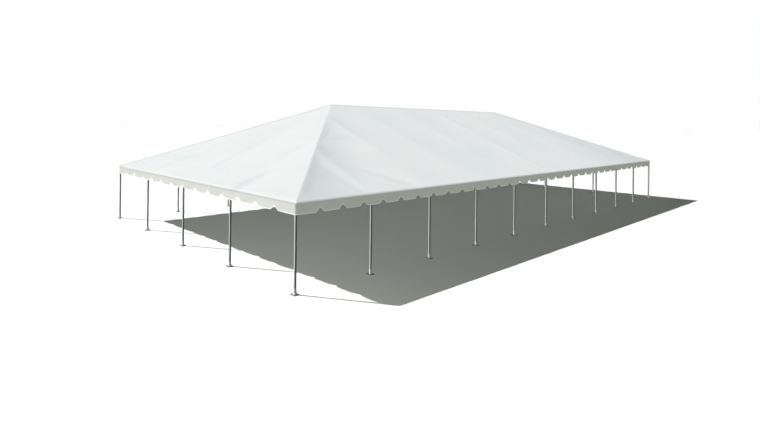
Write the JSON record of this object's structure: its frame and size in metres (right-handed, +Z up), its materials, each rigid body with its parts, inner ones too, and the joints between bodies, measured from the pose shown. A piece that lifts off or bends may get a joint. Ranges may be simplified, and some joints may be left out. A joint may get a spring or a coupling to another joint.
{
  "type": "frame marquee tent",
  "caption": "Long frame marquee with a hipped white vinyl roof, a scalloped valance and slender metal legs on square base plates.",
  "frame": {"origin": "centre of the bounding box's base, on the floor under the middle of the marquee", "axes": "+X along the marquee, +Y across it towards the back, +Z up"},
  "size_m": [30.68, 12.392, 5.4299],
  "materials": {
    "leg_metal": "satin mill-finish tube",
    "frame_metal": "satin mill-finish tube",
    "tie_metal": "galvanised steel cable and post",
    "canopy_vinyl": "satin coated white vinyl",
    "valance_vinyl": "satin coated white vinyl with a bound edge"
  },
  "bodies": {
    "root": {"leg_front_0": "leg_metal", "leg_front_1": "leg_metal", "leg_front_2": "leg_metal", "leg_front_3": "leg_metal", "leg_front_4": "leg_metal", "leg_front_5": "leg_metal", "leg_front_6": "leg_metal", "leg_front_7": "leg_metal", "leg_front_8": "leg_metal", "leg_front_9": "leg_metal", "leg_front_10": "leg_metal", "leg_back_0": "leg_metal", "leg_back_1": "leg_metal", "leg_back_2": "leg_metal", "leg_back_3": "leg_metal", "leg_back_4": "leg_metal", "leg_back_5": "leg_metal", "leg_back_6": "leg_metal", "leg_back_7": "leg_metal", "leg_back_8": "leg_metal", "leg_back_9": "leg_metal", "leg_back_10": "leg_metal", "leg_left_1": "leg_metal", "leg_left_2": "leg_metal", "leg_left_3": "leg_metal", "leg_right_1": "leg_metal", "leg_right_2": "leg_metal", "leg_right_3": "leg_metal", "eave_rail_front": "frame_metal", "eave_rail_back": "frame_metal", "eave_rail_left": "frame_metal", "eave_rail_right": "frame_metal", "ridge_beam": "frame_metal", "slope_frame_front": "frame_metal", "slope_frame_back": "frame_metal", "end_frame_left": "frame_metal", "end_frame_right": "frame_metal", "hip_rafter_front_left": "frame_metal", "hip_rafter_front_right": "frame_metal", "hip_rafter_back_left": "frame_metal", "hip_rafter_back_right": "frame_metal", "truss_tie_1": "tie_metal", "truss_tie_2": "tie_metal", "truss_tie_3": "tie_metal", "truss_tie_4": "tie_metal", "truss_tie_5": "tie_metal", "canopy_front": "canopy_vinyl", "canopy_back": "canopy_vinyl", "canopy_left_end": "canopy_vinyl", "canopy_right_end": "canopy_vinyl", "valance_front": "valance_vinyl", "valance_back": "valance_vinyl", "valance_left": "valance_vinyl", "valance_right": "valance_vinyl"}
  },
  "joints": []
}
